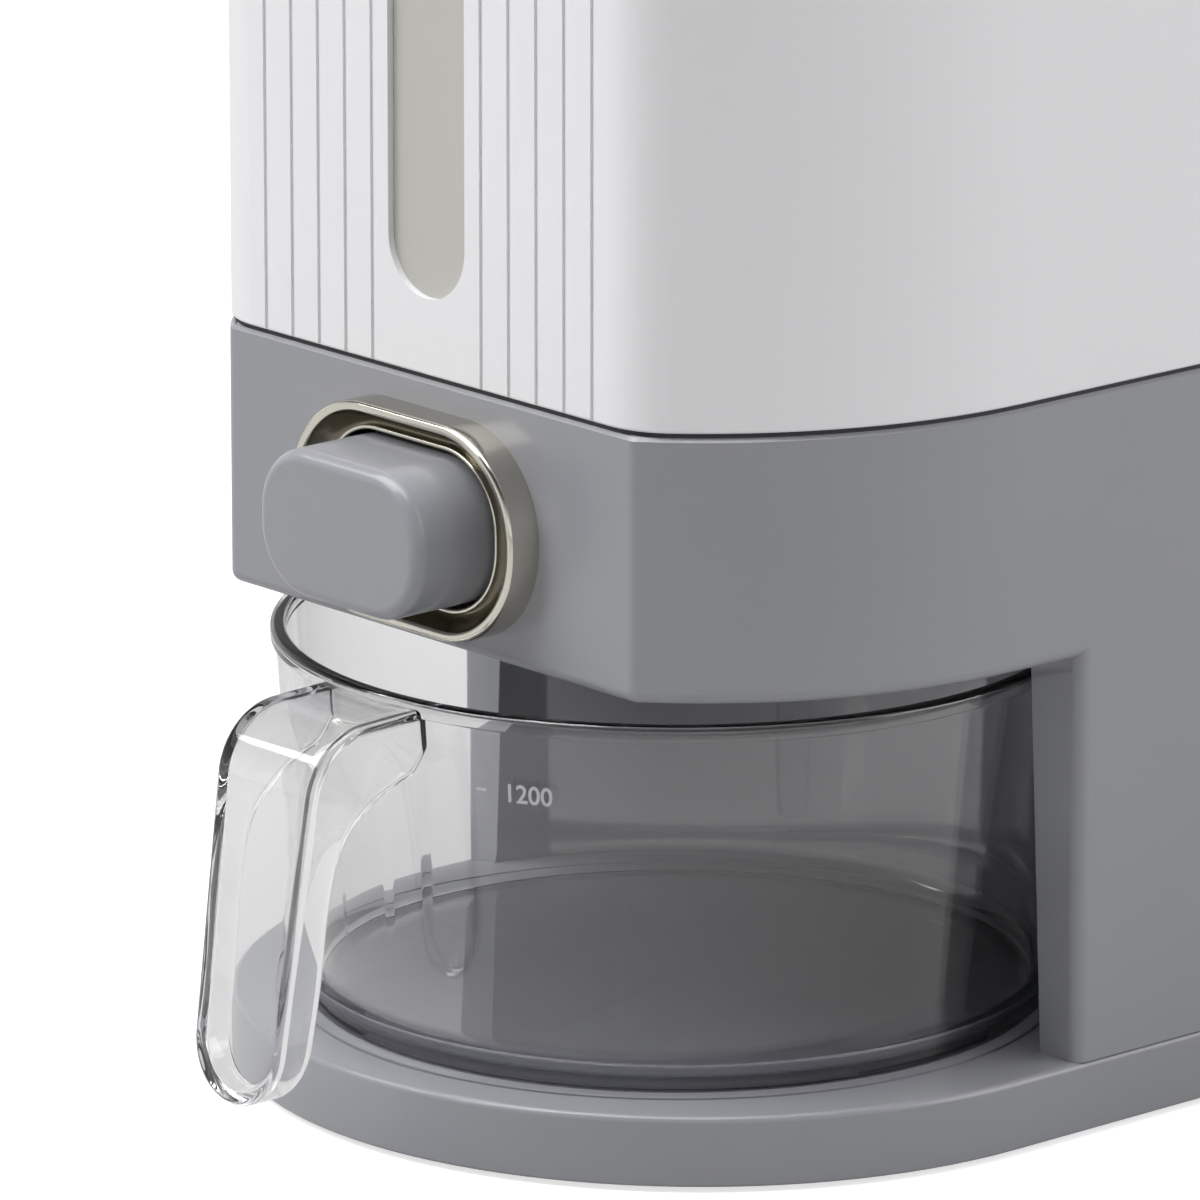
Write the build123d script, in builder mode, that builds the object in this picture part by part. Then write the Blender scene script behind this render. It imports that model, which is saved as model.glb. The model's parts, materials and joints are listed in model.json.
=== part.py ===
"""Rice dispenser with a measuring cup.

A white container stands on a grey housing. A push button in the flat front moves a gate, and rice
falls through the bay ceiling into a clear cup that stands in the open bay. The base plate keeps the
full round nose; everything above the bay is cut flat at the front panel.

Frame: +Z up, the front panel faces -Y, +X to the right of someone who stands in front of it (who
looks along +Y). The origin is on the table, at the middle of the overall width and depth.
Millimetres.
"""

import os
from math import atan, degrees

from build123d import *

os.makedirs("parts", exist_ok=True)

# ------------------------------------------------------------------ driving dimensions
# Body plan
half_width = 100.0  # also the radius of the nose
body_depth = 300.0  # front panel to back
nose_set_back = 76.5  # front panel to the nose's centre
back_corner_r = 42.0
column_set_back = 94.0  # front panel to the columns' front faces

# Heights
foot_height = 1.2
base_top = 16.5  # where the cup and the housing stand
band_low = 105.3  # bay ceiling
band_high = 162.1  # top of the housing
gasket_t = 1.0
container_h = 202.9
lid_gap = 0.3
lid_h = 21.0

# Walls and edges
wall = 2.6  # housing and base plate
container_wall = 2.4
crease_r = 3.0  # upright edges of the grey front
band_edge_r = 2.6
top_chamfer = 0.8
corner_r = 18.0  # soft upright corners of the container
small_edge_r = 0.6
base_edge_r = 1.4
running_gap = 0.3  # between pieces that move past each other
fit_gap = 0.2  # between pieces that are put together

# Base
cover_t = 2.2
feet_r = 9.0
feet_front = (46.0, 24.0)  # half spacing, distance behind the panel
feet_back = (68.0, 262.0)

# Screws and bosses
screw_r = 1.5
screw_head_r = 2.9
screw_head_h = 1.5
thread_gap = 0.04
boss_r = 4.5
boss_overlap = 0.6  # how far a boss sinks into the wall beside it
boss_h = 28.0
boss_hole_h = 18.0
column_boss_y = 128.0
side_boss_y = 215.0
back_boss_x = 40.0
cover_screw_rows = ((60.0, 52.0), (70.0, 150.0), (55.0, 245.0))  # half spacing, behind the panel
screw_tip_gap = 1.0  # between a base screw's tip and the end of its boss
guide_screw_edge = 1.0  # between a screw's head and the guide's edge
guide_hole_floor = 1.0  # left of the deck under a guide screw's hole

# Cup
cup_set_back = 70.0  # front panel to the cup's axis
cup_foot_r = 80.5
cup_rim_r = 87.0
cup_h = 81.8
cup_wall = 2.2
cup_floor_t = 2.8
cup_foot_edge_r = 3.0
cup_floor_edge_r = 11.0
lip_h = 3.6
lip_proud = 1.1
seat_groove_r = 82.6
seat_groove_w = 1.2
seat_groove_depth = 0.6

# Handle: distances in front of the panel, and down from the cup's rim
handle_top_w = 32.0
handle_low_w = 27.8
handle_web_t = 2.2
handle_reach = 55.0
handle_drop = 83.4
handle_shoulder = (43.2, 2.6)
handle_shoulder_r = 16.0
handle_root_drop = 1.4
handle_root_set_back = 6.0  # inside the cup, where the cup's wall trims it
handle_low_depth = 9.0
handle_trim = 1.0  # how far the trimming outline runs past the handle
grip_curve = ((10.0, 15.6), (18.0, 16.3), (28.5, 20.2), (35.7, 27.5), (39.2, 40.0), (41.2, 57.0),
              (43.6, 71.0))

# Bay
bay_gap = 1.0  # round the cup's rim, at the ceiling
bay_draft_r = 4.0  # how much wider the bay is at the floor

# Button and its bezel, two rounded outlines about one centre
button_rise = 27.6  # their middle, above the bay ceiling
cap_w = 51.5
cap_h = 32.0
cap_r = 14.5
cap_reach = 25.0  # in front of the panel
cap_tail = 1.0  # behind the panel
cap_wall = 2.2
cap_edge_r = 2.8
button_travel = 12.0
hole_gap = 1.8
bezel_w = 71.2
bezel_h = 46.6
bezel_r = 22.8
bezel_reach = 7.9
bezel_edge_r = 0.8
rim_t = 2.2
liner_gap = 0.1
liner_inner = 1.0
liner_bead_t = 1.0
liner_bead_reach = 5.0
liner_reach = 7.0
liner_floor = 1.6
liner_slope = 1.5  # how far its sloping wall runs in, from the rim down to the floor

# Window and grooves
window_w = 24.4
window_above_seam = 16.4
window_below_rim = 20.0
window_gap = 0.1
pane_t = 1.6
pane_recess = 1.5
pane_margin = 5.0
groove_first_x = 17.4
groove_pitch = 8.7
groove_count = 5
groove_w = 1.1
groove_depth = 0.6

# Outlet, gate and hopper
outlet_set_back = 62.0
outlet_w = 56.0
outlet_l = 11.0
spout_wall = 3.0
spout_flange = 4.0
spout_drop = 1.6
guide_floor_t = 1.6
guide_half_w = 48.0
guide_front = 6.0
guide_back = 94.0
gate_t = 2.2
gate_half_w = 34.0
gate_front = 10.0
gate_tail = 8.0
rail_t = 3.6
post_set_back = 33.0
post_t = 3.0
post_h = 14.5
throat_h = 4.0
hopper_wall = 2.2
hopper_flange_t = 2.8
hopper_flange_inset = 1.5
spigot_inset = 3.1
spigot_t = 1.6
hopper_front_rise = 2.9  # above the seam, where the funnel's faces meet the walls
hopper_side_rise = 22.9
hopper_back_rise = 64.9
hopper_clear_rise = 96.9

# Pusher and springs
bar_set_back = 8.0
bar_t = 3.0
bar_gap = 1.0  # above the gate
web_half_w = 14.0
stem_half_w = 12.0
stem_half_h = 5.0
foot_l = 14.0
foot_t = 2.4
foot_edge = 1.5  # of the foot beside its pins
pin_spacing = 18.0
pin_r = 1.5
pin_head_r = 2.6
pin_head_h = 1.2
spring_x = 42.6
spring_r = 3.8
wire_r = 0.45
spring_turns = 7

# Lid and hinge
lid_edge_r = 6.0
plug_inset = 3.4
plug_t = 2.2
plug_drop = 10.0
lid_gasket_low = 4.0  # above the plug's lower end
lid_gasket_h = 3.0
lid_gasket_inset = 2.7
lid_gasket_groove = 1.0
lip_half_w = 28.0
lip_reach = 4.0
lip_t = 3.0
lip_corner_r = 1.4
knuckle_r = 4.0
knuckle_half_l = 12.0
knuckle_gap = 0.4
lug_l = 6.0
lug_drop = 9.0
lug_root = 1.0  # how far a lug or knuckle block sinks into its wall
hinge_set_in = 50.0  # from the body's side to the middle of a hinge
hinge_pin_r = 1.6
pin_run_gap = 0.05
pin_press_gap = 0.01

# ------------------------------------------------------------------ places worked out from them
hinge_overhang = knuckle_gap + 2 * knuckle_r
panel_y = (handle_reach - body_depth - hinge_overhang) / 2
back_y = panel_y + body_depth
nose_y = panel_y + nose_set_back
column_y = panel_y + column_set_back
cup_y = panel_y + cup_set_back
outlet_y = panel_y + outlet_set_back
outlet_front = outlet_y - outlet_l / 2
outlet_back = outlet_y + outlet_l / 2

base_under = base_top - wall
cover_top = foot_height + cover_t
deck_top = band_low + wall
column_top = band_low + 2 * band_edge_r  # clear of the band's rounded lower edge
container_low = band_high + gasket_t
container_high = container_low + container_h
lid_low = container_high + lid_gap
window_low = container_low + window_above_seam
window_high = container_high - window_below_rim
window_h = window_high - window_low
window_z = (window_low + window_high) / 2

guide_floor = deck_top + guide_floor_t
gate_low = guide_floor + running_gap
gate_top = gate_low + gate_t
rail_top = gate_top + running_gap
throat_top = rail_top + throat_h
flange_low = band_high - hopper_flange_t
bar_low = gate_top + bar_gap
post_top = guide_floor + post_h
spring_z = (bar_low + post_top) / 2
button_z = band_low + button_rise
hopper_front_z = container_low + hopper_front_rise
hopper_side_z = container_low + hopper_side_rise
hopper_back_z = container_low + hopper_back_rise
hopper_clear_top = container_low + hopper_clear_rise

rim_z = base_top + cup_h
handle_root_z = rim_z - handle_root_drop
handle_low = rim_z - handle_drop
bay_high_r = cup_rim_r + bay_gap
bay_low_r = bay_high_r + bay_draft_r
boss_inset = wall - boss_overlap + boss_r
hinge_x = half_width - hinge_set_in


# ------------------------------------------------------------------ shared outlines
def plan(z, inset=0.0, front=None, front_r=0.0):
    """The body's plan at height z, drawn in by inset; a front value cuts the nose flat there."""
    radius = half_width - inset
    with BuildSketch(Plane.XY.offset(z)) as outline:
        with Locations((0, nose_y)):
            Circle(radius)
            Rectangle(2 * radius, back_y - inset - nose_y, align=(Align.CENTER, Align.MIN))
        fillet(outline.vertices().group_by(Axis.Y)[-1], back_corner_r - inset)
        if front is not None:
            with Locations((0, front + inset)):
                Rectangle(2 * half_width, 2 * half_width, align=(Align.CENTER, Align.MAX),
                          mode=Mode.SUBTRACT)
            if front_r > 0:
                fillet(outline.vertices().group_by(Axis.Y)[0], front_r)
    return outline.sketch


def soft_plan(z, inset=0.0):
    """The container's plan at height z: cut flat at the panel, with soft front corners."""
    return plan(z, inset, front=panel_y, front_r=corner_r - inset)


def soft_ring(z, outer, inner):
    """The strip of the container's plan that lies between two insets."""
    with BuildSketch(Plane.XY.offset(z)) as strip:
        add(soft_plan(0, outer))
        add(soft_plan(0, inner), mode=Mode.SUBTRACT)
    return strip.sketch


def front_plane(y, z=0.0):
    """An upright plane that faces the front, with its own X to the right and Y up."""
    return Plane((0, y, z), x_dir=(1, 0, 0), z_dir=(0, -1, 0))


def button_ring(y, grow):
    """The button's outline on an upright plane, grown outwards by grow."""
    with BuildSketch(front_plane(y, button_z)) as outline:
        RectangleRounded(cap_w + 2 * grow, cap_h + 2 * grow, cap_r + grow)
    return outline.sketch


def bezel_ring(y, inset):
    """The bezel's outline on an upright plane, drawn in by inset."""
    with BuildSketch(front_plane(y, button_z)) as outline:
        RectangleRounded(bezel_w - 2 * inset, bezel_h - 2 * inset, bezel_r - inset)
    return outline.sketch


def block(x_size, y_low, y_high, z_low, z_high, x=0.0, mode=Mode.ADD):
    """A plain box by its limits, centred on x; it joins the part that is being made."""
    with Locations((x, y_low, z_low)):
        Box(x_size, y_high - y_low, z_high - z_low, align=(Align.CENTER, Align.MIN, Align.MIN),
            mode=mode)


def upright(points, radius, z_low, z_high, mode=Mode.ADD):
    """Upright round bars or holes at (x, y) points."""
    with Locations(*[(x, y, z_low) for x, y in points]):
        Cylinder(radius, z_high - z_low, align=(Align.CENTER, Align.CENTER, Align.MIN), mode=mode)


def cross_bar(x, half_length, radius, y, z, mode=Mode.ADD):
    """A round bar or hole along X."""
    with Locations(Location((x, y, z), (0, 90, 0))):
        Cylinder(radius, 2 * half_length, mode=mode)


def finish(piece, name):
    """Label a piece and write it."""
    piece.part.label = name
    export_step(piece.part, f"parts/{name}.step")


# ------------------------------------------------------------------ fastener places
housing_screw_points = (
    [(side * (half_width - boss_inset), panel_y + y) for side in (-1, 1)
     for y in (column_boss_y, side_boss_y)]
    + [(side * back_boss_x, back_y - boss_inset) for side in (-1, 1)]
)
cover_screw_points = [(side * x, panel_y + y) for side in (-1, 1) for x, y in cover_screw_rows]
feet_points = [(side * x, panel_y + y) for side in (-1, 1) for x, y in (feet_front, feet_back)]
pin_points = [(side * pin_spacing / 2, panel_y + bar_set_back + bar_t + foot_l / 2)
              for side in (-1, 1)]
guide_screw_inset = screw_head_r + guide_screw_edge
guide_screw_points = [(side * (guide_half_w - guide_screw_inset), panel_y + y) for side in (-1, 1)
                      for y in (guide_front + guide_screw_inset, guide_back - guide_screw_inset)]


def screws_from_below(points, seat, shank, head_h=screw_head_h):
    """Pan-head screws whose heads lie under the height of the seat."""
    upright(points, screw_r, seat, seat + shank)
    upright(points, screw_head_r, seat - head_h, seat)


# ------------------------------------------------------------------ base
with BuildPart() as base_plate:
    extrude(plan(foot_height), amount=base_top - foot_height)
    fillet(base_plate.faces().sort_by(Axis.Z)[-1].edges(), base_edge_r)
    fillet(base_plate.faces().sort_by(Axis.Z)[0].edges(), small_edge_r)
    extrude(plan(foot_height, wall), amount=base_under - foot_height, mode=Mode.SUBTRACT)
    upright(cover_screw_points, boss_r, cover_top, base_under)
    upright(cover_screw_points, screw_r + thread_gap, cover_top, base_under, mode=Mode.SUBTRACT)
    upright(housing_screw_points, screw_r + fit_gap, base_under, base_top, mode=Mode.SUBTRACT)
    with BuildSketch(Plane.XY.offset(base_top)):
        with Locations((0, cup_y)):
            Circle(seat_groove_r + seat_groove_w)
            Circle(seat_groove_r, mode=Mode.SUBTRACT)
    extrude(amount=-seat_groove_depth, mode=Mode.SUBTRACT)
finish(base_plate, "base_plate")

with BuildPart() as bottom_cover:
    extrude(plan(foot_height, wall + fit_gap), amount=cover_t)
    upright(cover_screw_points, screw_r + fit_gap, foot_height, cover_top, mode=Mode.SUBTRACT)
    upright(cover_screw_points, screw_head_r + fit_gap, foot_height, foot_height + screw_head_h,
            mode=Mode.SUBTRACT)
finish(bottom_cover, "bottom_cover")

with BuildPart() as rubber_feet:
    upright(feet_points, feet_r, 0, foot_height)
    fillet(rubber_feet.edges().group_by(Axis.Z)[0], small_edge_r)
finish(rubber_feet, "rubber_feet")

with BuildPart() as base_screws:
    screws_from_below(cover_screw_points, foot_height + screw_head_h,
                      base_under - foot_height - screw_head_h - screw_tip_gap)
finish(base_screws, "base_screws")

with BuildPart() as housing_screws:
    screws_from_below(housing_screw_points, base_under, boss_hole_h)
finish(housing_screws, "housing_screws")

# ------------------------------------------------------------------ housing
with BuildPart() as back_cavity:
    extrude(plan(base_top, wall, front=column_y), amount=band_low - base_top)
    with Locations((0, cup_y, base_top)):
        Cone(bay_low_r + wall, bay_high_r + wall, band_low - base_top,
             align=(Align.CENTER, Align.CENTER, Align.MIN), mode=Mode.SUBTRACT)

with BuildPart() as housing:
    # The front band, with everything above the bay
    extrude(plan(band_low, front=panel_y, front_r=crease_r), amount=band_high - band_low)
    fillet(housing.faces().sort_by(Axis.Z)[0].edges(), band_edge_r)
    chamfer(housing.faces().sort_by(Axis.Z)[-1].edges(), top_chamfer)
    # Columns and back; they run up past the band's rounded lower edge
    extrude(plan(base_top, front=column_y, front_r=crease_r),
            amount=column_top - base_top)
    # The bay, a drafted round wall about the cup's axis
    with Locations((0, cup_y, base_top)):
        Cone(bay_low_r, bay_high_r, band_low - base_top,
             align=(Align.CENTER, Align.CENTER, Align.MIN), mode=Mode.SUBTRACT)
    # Hollows above the deck and behind the bay
    extrude(plan(deck_top, wall, front=panel_y), amount=band_high - deck_top, mode=Mode.SUBTRACT)
    add(back_cavity.part, mode=Mode.SUBTRACT)
    # Step that the hopper's flange lies on
    extrude(plan(flange_low, hopper_flange_inset - fit_gap, front=panel_y), amount=hopper_flange_t,
            mode=Mode.SUBTRACT)
    # Screw bosses beside the outer wall
    upright(housing_screw_points, boss_r, base_top, base_top + boss_h)
    upright(housing_screw_points, screw_r + thread_gap, base_top, base_top + boss_hole_h,
            mode=Mode.SUBTRACT)
    # Holes for the button, the outlet and the guide's screws
    extrude(button_ring(panel_y, hole_gap), amount=-wall, mode=Mode.SUBTRACT)
    block(outlet_w + 2 * (spout_wall + fit_gap), outlet_front - spout_wall - fit_gap,
          outlet_back + spout_wall + fit_gap, band_low, deck_top, mode=Mode.SUBTRACT)
    upright(guide_screw_points, screw_r + thread_gap, band_low + guide_hole_floor, deck_top,
            mode=Mode.SUBTRACT)
finish(housing, "housing")

with BuildPart() as outlet_spout:
    for grow, low, high in ((spout_wall + spout_flange, band_low - spout_drop, band_low),
                            (spout_wall, band_low, deck_top)):
        block(outlet_w + 2 * grow, outlet_front - grow, outlet_back + grow, low, high)
    block(outlet_w, outlet_front, outlet_back, band_low - spout_drop,
          deck_top, mode=Mode.SUBTRACT)
finish(outlet_spout, "outlet_spout")

# ------------------------------------------------------------------ gate and its guide
with BuildPart() as gate_guide:
    block(2 * guide_half_w, panel_y + guide_front, panel_y + guide_back, deck_top, guide_floor)
    for side in (-1, 1):
        block(rail_t, panel_y + guide_front, panel_y + guide_back, guide_floor, rail_top,
              x=side * (gate_half_w + running_gap + rail_t / 2))
        post_inner = gate_half_w + running_gap + rail_t
        block(guide_half_w - post_inner, panel_y + post_set_back,
              panel_y + post_set_back + post_t, guide_floor, post_top,
              x=side * (guide_half_w + post_inner) / 2)
    block(outlet_w, outlet_front, outlet_back, deck_top, guide_floor,
          mode=Mode.SUBTRACT)
    upright(guide_screw_points, screw_r + fit_gap, deck_top, guide_floor, mode=Mode.SUBTRACT)
finish(gate_guide, "gate_guide")

with BuildPart() as guide_screws:
    upright(guide_screw_points, screw_r, band_low + guide_hole_floor + fit_gap, guide_floor)
    upright(guide_screw_points, screw_head_r, guide_floor, guide_floor + screw_head_h)
finish(guide_screws, "guide_screws")

with BuildPart() as gate_plate:
    block(2 * gate_half_w, panel_y + gate_front, outlet_back + gate_tail,
          gate_low, gate_top)
    # At rest the aperture lies in front of the outlet by the button's travel
    block(outlet_w, outlet_front - button_travel, outlet_back - button_travel, gate_low, gate_top,
          mode=Mode.SUBTRACT)
    upright(pin_points, pin_r + fit_gap, gate_low, gate_top, mode=Mode.SUBTRACT)
finish(gate_plate, "gate_plate")


# ------------------------------------------------------------------ hopper
def funnel(drop, mode):
    """Four flat faces that widen from the throat until they pass the container's walls."""
    rise = hopper_clear_top - throat_top
    front_run = (outlet_set_back - outlet_l / 2) / (hopper_front_z - throat_top) * rise
    side_run = (half_width - outlet_w / 2) / (hopper_side_z - throat_top) * rise
    back_run = (body_depth - outlet_set_back - outlet_l / 2) / (hopper_back_z - throat_top) * rise
    with BuildSketch(Plane.XY.offset(throat_top - drop)) as low:
        with Locations((0, outlet_y)):
            Rectangle(outlet_w, outlet_l)
    with BuildSketch(Plane.XY.offset(hopper_clear_top - drop)) as high:
        with Locations((0, outlet_y + (back_run - front_run) / 2)):
            Rectangle(outlet_w + 2 * side_run, outlet_l + front_run + back_run)
    loft([low.sketch, high.sketch], ruled=True, mode=mode)


with BuildPart() as hopper:
    # Sloping faces and the spigot inside the container, trimmed to the walls' plan
    funnel(hopper_wall, Mode.ADD)
    extrude(soft_plan(throat_top - hopper_wall, spigot_inset),
            amount=hopper_back_z - throat_top + hopper_wall, mode=Mode.INTERSECT)
    extrude(soft_ring(flange_low, spigot_inset, spigot_inset + spigot_t),
            amount=hopper_back_z - flange_low)
    funnel(0.0, Mode.SUBTRACT)
    # Flange on the housing's step, and the throat down to the rails
    with BuildSketch(Plane.XY.offset(flange_low)):
        add(plan(0, hopper_flange_inset, front=panel_y))
        add(soft_plan(0, spigot_inset + spigot_t), mode=Mode.SUBTRACT)
    extrude(amount=hopper_flange_t)
    block(outlet_w + 2 * spout_wall, outlet_front - spout_wall,
          outlet_back + spout_wall, rail_top, throat_top)
    block(outlet_w, outlet_front, outlet_back, rail_top, throat_top,
          mode=Mode.SUBTRACT)
    funnel(0.0, Mode.SUBTRACT)
finish(hopper, "hopper")

# ------------------------------------------------------------------ button
with BuildPart() as button_cap:
    extrude(button_ring(panel_y + cap_tail, 0.0), amount=cap_tail + cap_reach)
    fillet(button_cap.faces().sort_by(Axis.Y)[0].edges(), cap_edge_r)
    extrude(button_ring(panel_y + cap_tail, -cap_wall), amount=cap_tail + cap_reach - cap_wall,
            mode=Mode.SUBTRACT)
finish(button_cap, "button_cap")

with BuildPart() as button_bezel:
    extrude(bezel_ring(panel_y, 0.0), amount=bezel_reach)
    extrude(bezel_ring(panel_y, rim_t), amount=bezel_reach, mode=Mode.SUBTRACT)
    fillet(button_bezel.faces().sort_by(Axis.Y)[0].edges(), bezel_edge_r)
finish(button_bezel, "button_bezel")

liner_inset = rim_t + liner_gap
with BuildPart() as bezel_liner:
    extrude(bezel_ring(panel_y, liner_inset), amount=liner_reach)
    extrude(bezel_ring(panel_y - liner_reach, liner_inset + small_edge_r),
            amount=liner_floor - liner_reach,
            taper=degrees(atan(liner_slope / (liner_reach - liner_floor))), mode=Mode.SUBTRACT)
    extrude(button_ring(panel_y, liner_inner + liner_bead_t), amount=liner_bead_reach)
    extrude(button_ring(panel_y, liner_inner), amount=liner_reach, mode=Mode.SUBTRACT)
finish(bezel_liner, "bezel_liner")

bar_y = panel_y + bar_set_back
with BuildPart() as button_pusher:
    block(2 * stem_half_w, panel_y - cap_reach + cap_wall, bar_y, button_z - stem_half_h,
          button_z + stem_half_h)
    block(2 * web_half_w, bar_y, bar_y + bar_t, bar_low, button_z + stem_half_h)
    block(2 * guide_half_w, bar_y, bar_y + bar_t, bar_low, post_top)
    block(pin_spacing + 2 * (pin_r + foot_edge), bar_y + bar_t / 2, bar_y + bar_t + foot_l, gate_top,
          gate_top + foot_t)
    upright(pin_points, pin_r + fit_gap, gate_top, gate_top + foot_t, mode=Mode.SUBTRACT)
finish(button_pusher, "button_pusher")

with BuildPart() as pusher_pins:
    upright(pin_points, pin_r, gate_low, gate_top + foot_t)
    upright(pin_points, pin_head_r, gate_top + foot_t, gate_top + foot_t + pin_head_h)
finish(pusher_pins, "pusher_pins")

spring_low_y = bar_y + bar_t + wire_r
spring_length = panel_y + post_set_back - spring_low_y - wire_r
for side, name in ((-1, "left_return_spring"), (1, "right_return_spring")):
    with BuildPart() as return_spring:
        with BuildLine():
            coil = Helix(spring_length / spring_turns, spring_length, spring_r,
                         center=(side * spring_x, spring_low_y, spring_z), direction=(0, 1, 0))
        with BuildSketch(Plane(coil @ 0, z_dir=coil % 0)):
            Circle(wire_r)
        sweep(path=coil)
    finish(return_spring, name)

# ------------------------------------------------------------------ container
with BuildPart() as seam_gasket:
    extrude(soft_ring(band_high, top_chamfer, spigot_inset - fit_gap), amount=gasket_t)
finish(seam_gasket, "seam_gasket")

hinge_y = back_y + knuckle_gap + knuckle_r
hinge_z = container_high

with BuildPart() as container:
    extrude(soft_plan(container_low), amount=container_h)
    fillet(container.faces().sort_by(Axis.Z)[0].edges(), small_edge_r)
    extrude(soft_plan(container_low, container_wall), amount=container_h, mode=Mode.SUBTRACT)
    # Two groups of upright grooves beside the window
    groove_xs = [side * (groove_first_x + groove_pitch * i) for side in (-1, 1)
                 for i in range(groove_count)]
    with BuildSketch(front_plane(panel_y)):
        with Locations(*[(x, (container_low + container_high) / 2) for x in groove_xs]):
            Rectangle(groove_w, container_h)
    extrude(amount=-groove_depth, mode=Mode.SUBTRACT)
    with BuildSketch(front_plane(panel_y)):
        with Locations((0, window_z)):
            SlotOverall(window_h, window_w, rotation=90)
    extrude(amount=-container_wall, mode=Mode.SUBTRACT)
    # Hinge lugs, one each side of each knuckle
    for x in (-hinge_x, hinge_x):
        for side in (-1, 1):
            lug_x = x + side * (knuckle_half_l + running_gap + lug_l / 2)
            block(lug_l, back_y - lug_root, hinge_y, hinge_z - lug_drop, hinge_z, x=lug_x)
            cross_bar(lug_x, lug_l / 2, knuckle_r, hinge_y, hinge_z)
            cross_bar(lug_x, lug_l / 2, hinge_pin_r + pin_press_gap, hinge_y, hinge_z,
                      mode=Mode.SUBTRACT)
finish(container, "container")

with BuildPart() as window_pane:
    inner_y = panel_y + container_wall
    with BuildSketch(front_plane(inner_y)):
        with Locations((0, window_z)):
            RectangleRounded(window_w + 2 * pane_margin, window_h + 2 * pane_margin, pane_margin)
    extrude(amount=-pane_t)
    with BuildSketch(front_plane(inner_y)):
        with Locations((0, window_z)):
            SlotOverall(window_h - 2 * window_gap, window_w - 2 * window_gap, rotation=90)
    extrude(amount=container_wall - pane_recess)
finish(window_pane, "window_pane")

# ------------------------------------------------------------------ lid
with BuildPart() as lid:
    extrude(soft_plan(lid_low), amount=lid_h)
    fillet(lid.faces().sort_by(Axis.Z)[-1].edges(), lid_edge_r)
    extrude(soft_plan(lid_low, container_wall), amount=lid_h - container_wall - lid_edge_r,
            mode=Mode.SUBTRACT)
    extrude(soft_plan(lid_low, lid_edge_r), amount=lid_h - container_wall, mode=Mode.SUBTRACT)
    # Plug that goes into the container, with a groove for its gasket
    plug_low = lid_low - plug_drop
    extrude(soft_ring(plug_low, plug_inset, plug_inset + plug_t),
            amount=plug_drop + lid_h - container_wall)
    extrude(soft_ring(plug_low + lid_gasket_low, plug_inset, plug_inset + lid_gasket_groove),
            amount=lid_gasket_h, mode=Mode.SUBTRACT)
    # Finger lip at the front
    with BuildSketch(Plane.XY.offset(lid_low + running_gap)):
        with Locations((0, panel_y)):
            RectangleRounded(2 * lip_half_w, 2 * lip_reach, lip_corner_r)
        with Locations((0, panel_y + container_wall / 2)):
            Rectangle(2 * lip_half_w, 2 * lip_reach, align=(Align.CENTER, Align.MIN),
                      mode=Mode.SUBTRACT)
    extrude(amount=lip_t)
    # Hinge knuckles
    for x in (-hinge_x, hinge_x):
        block(2 * knuckle_half_l, back_y - lug_root, hinge_y, lid_low, hinge_z + knuckle_r, x=x)
        cross_bar(x, knuckle_half_l, knuckle_r, hinge_y, hinge_z)
        cross_bar(x, knuckle_half_l, hinge_pin_r + pin_run_gap, hinge_y, hinge_z,
                  mode=Mode.SUBTRACT)
finish(lid, "lid")

with BuildPart() as lid_gasket:
    extrude(soft_ring(plug_low + lid_gasket_low, lid_gasket_inset, plug_inset + lid_gasket_groove),
            amount=lid_gasket_h)
finish(lid_gasket, "lid_gasket")

with BuildPart() as hinge_pins:
    for x in (-hinge_x, hinge_x):
        cross_bar(x, knuckle_half_l + running_gap + lug_l, hinge_pin_r, hinge_y, hinge_z)
finish(hinge_pins, "hinge_pins")

# ------------------------------------------------------------------ measuring cup
root_y = panel_y + handle_root_set_back


def web_line(inset):
    """Outer line of the handle seen from the side, as (y, z) points: shelf, shoulder, lower end."""
    return ((root_y, handle_root_z - inset),
            (panel_y - handle_shoulder[0] + inset, rim_z - handle_shoulder[1] - inset),
            (panel_y - handle_reach + inset, handle_low))


with BuildSketch(Plane.YZ) as handle_side:
    with BuildLine():
        web = FilletPolyline(*web_line(0.0), radius=handle_shoulder_r)
        grip = Spline(*[(panel_y - reach, rim_z - drop) for reach, drop in grip_curve])
        Polyline(web @ 1, (panel_y - handle_reach + handle_low_depth, handle_low), grip @ 1)
        Polyline(grip @ 0, (root_y, rim_z - grip_curve[0][1]), web @ 0)
    make_face()

with BuildSketch(Plane.YZ) as channel_side:
    with BuildLine():
        web_inside = FilletPolyline(*web_line(handle_web_t), radius=handle_shoulder_r - handle_web_t)
        Polyline(web_inside @ 1, (root_y, handle_low), web_inside @ 0)
    make_face()


def handle_front(inset):
    """The handle seen from the front: it narrows downwards and ends round."""
    low_r = handle_low_w / 2 - inset
    with BuildSketch(front_plane(panel_y)) as front:
        with BuildLine():
            centre_z = handle_low + handle_low_w / 2
            low_end = CenterArc((0, centre_z), low_r, 180, 180)
            Polyline(low_end @ 1, (handle_top_w / 2 - inset, handle_root_z + handle_trim),
                     (inset - handle_top_w / 2, handle_root_z + handle_trim), low_end @ 0)
        make_face()
    return front.sketch


def low_outer_corner(profile):
    """The lowest corner, away from the axis, of a profile on Plane.YZ.

    Such a sketch has the object's Y as its own X, and the object's Z as its own Y.
    """
    return profile.vertices().group_by(Axis.Y)[0].sort_by(Axis.X)[0]


with BuildPart() as channel:
    extrude(channel_side.sketch, amount=handle_top_w, both=True)
    extrude(handle_front(handle_web_t), amount=handle_reach + handle_trim, mode=Mode.INTERSECT,
            both=True)

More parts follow.
